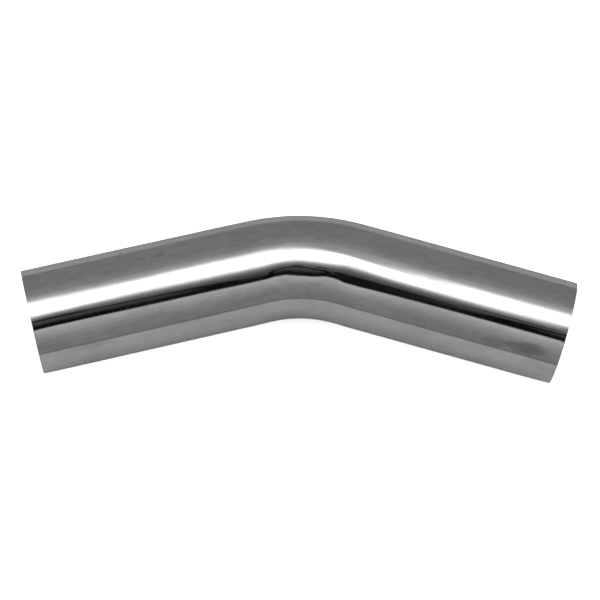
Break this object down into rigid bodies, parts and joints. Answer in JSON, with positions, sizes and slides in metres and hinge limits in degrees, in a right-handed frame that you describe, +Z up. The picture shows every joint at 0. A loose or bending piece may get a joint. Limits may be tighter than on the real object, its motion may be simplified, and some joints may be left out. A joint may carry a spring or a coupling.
{
  "type": "flue elbow",
  "caption": "Mandrel-bent round metal tube with straight legs and plain square-cut open ends, carrying air or flue gas around a shallow bend.",
  "frame": {"origin": "middle of the tube's own box in X and Y, at the level of the surface it lies on", "axes": "+X along the overall length from the left cut to the right cut, +Y towards the outside of the bend, +Z up; the bend lies in a level plane"},
  "size_m": [0.4054, 0.1229, 0.0762],
  "materials": {
    "polished_aluminium": "mirror polished outside with faint lengthwise buffing lines and thin haze; bore left dull as drawn; cut ends sawn square, deburred and lightly brushed"
  },
  "bodies": {
    "root": {"bent_tube": "polished_aluminium"}
  },
  "joints": []
}
